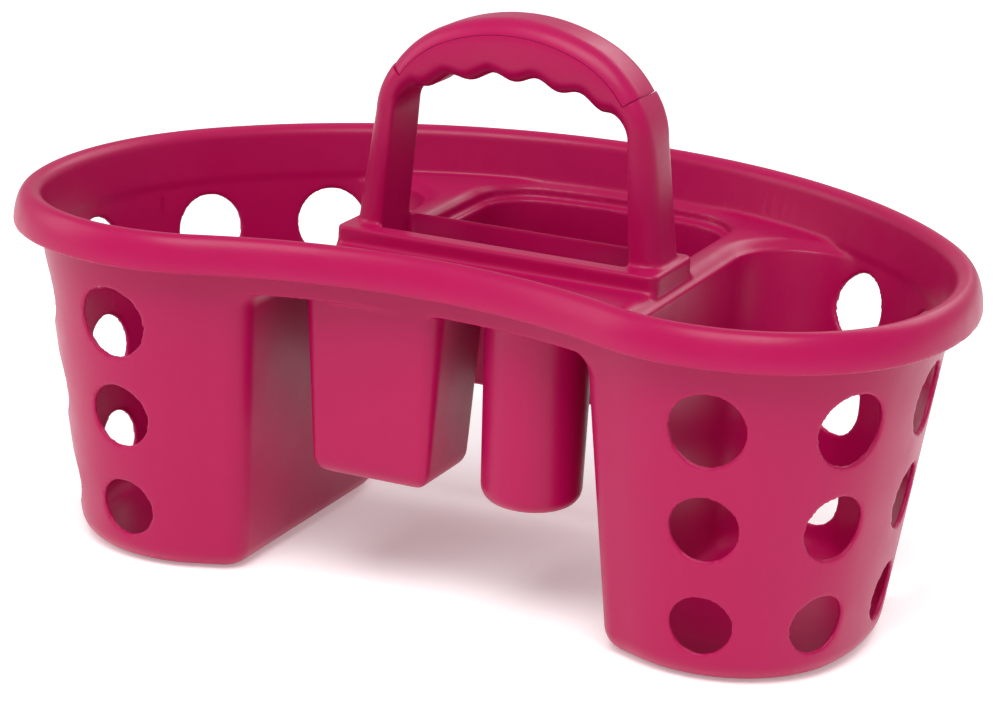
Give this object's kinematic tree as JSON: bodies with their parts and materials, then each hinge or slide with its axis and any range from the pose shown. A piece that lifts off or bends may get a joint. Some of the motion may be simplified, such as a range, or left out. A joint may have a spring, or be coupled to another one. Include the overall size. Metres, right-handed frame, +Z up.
{
  "type": "cleaning caddy",
  "caption": "Kidney-shaped plastic tote with deep perforated side baskets, a bridge with cups and a rear bin, and an arched carrying handle with a separate grip cap.",
  "frame": {"origin": "middle of the footprint, on the floor under the baskets", "axes": "+X along the length of the tub, +Y from the concave front to the rounded back, +Z up"},
  "size_m": [0.4, 0.2604, 0.2265],
  "materials": {
    "tub_plastic": "satin gloss polypropylene",
    "cap_plastic": "satin gloss polypropylene"
  },
  "bodies": {
    "root": {"rim": "tub_plastic", "left_basket": "tub_plastic", "right_basket": "tub_plastic", "centre_bridge": "tub_plastic", "rear_bin": "tub_plastic", "square_cup": "tub_plastic", "round_cup": "tub_plastic", "handle": "tub_plastic", "grip_cap": "cap_plastic"}
  },
  "joints": []
}
